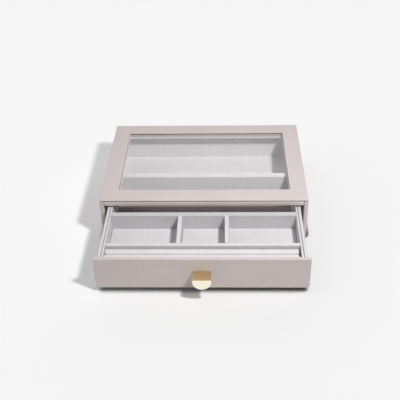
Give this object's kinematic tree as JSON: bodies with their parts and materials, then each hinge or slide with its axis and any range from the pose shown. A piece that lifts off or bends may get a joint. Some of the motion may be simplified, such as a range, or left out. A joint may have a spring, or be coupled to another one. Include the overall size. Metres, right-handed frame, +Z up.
{
  "type": "jewelry box with drawer",
  "caption": "Low covered jewelry box with a glass window in its fixed top and a lined drawer with compartments, ring rolls and a folded metal pull.",
  "frame": {"origin": "centre of the case's footprint on the surface that it stands on", "axes": "+X across the front to the right, +Y from the front to the back, +Z up; the drawer slides along -Y"},
  "size_m": [0.25, 0.2951, 0.056],
  "materials": {
    "leatherette": "matte blush-grey leatherette with a fine grain",
    "velvet": "short pale grey velvet",
    "board": "plain fibreboard",
    "felt": "thin felt",
    "glass": "clear float glass",
    "brass": "brushed pale gold",
    "steel": "zinc-plated"
  },
  "bodies": {
    "case": {"side_left": "leatherette", "side_right": "leatherette", "back_panel": "leatherette", "base_panel": "leatherette", "base_felt": "felt", "front_rail": "leatherette", "window_core": "leatherette", "window_glass": "glass", "top_frame": "leatherette", "lining_ceiling": "velvet", "lining_left": "velvet", "lining_right": "velvet", "lining_back": "velvet", "lining_floor": "velvet"},
    "drawer": {"drawer_front": "leatherette", "drawer_side_left": "velvet", "drawer_side_right": "velvet", "drawer_back": "velvet", "drawer_base": "board", "liner_left": "velvet", "liner_right": "velvet", "liner_back": "velvet", "liner_front": "velvet", "tray_board": "board", "tray_bearer_left": "board", "tray_bearer_middle": "board", "tray_bearer_right": "board", "rear_partition": "velvet", "front_partition": "velvet", "divider_left": "velvet", "divider_right": "velvet", "floor_card_left": "velvet", "floor_card_middle": "velvet", "floor_card_right": "velvet", "floor_card_rear": "velvet", "ring_roll_front": "velvet", "ring_roll_rear": "velvet", "pull_tab": "brass", "stud_nut_left": "steel", "stud_nut_right": "steel"}
  },
  "joints": [
    {"name": "drawer_slide", "type": "slide", "parent": "case", "child": "drawer", "axis": [0, -1, 0], "range_m": [-0.098, 0.045]}
  ]
}
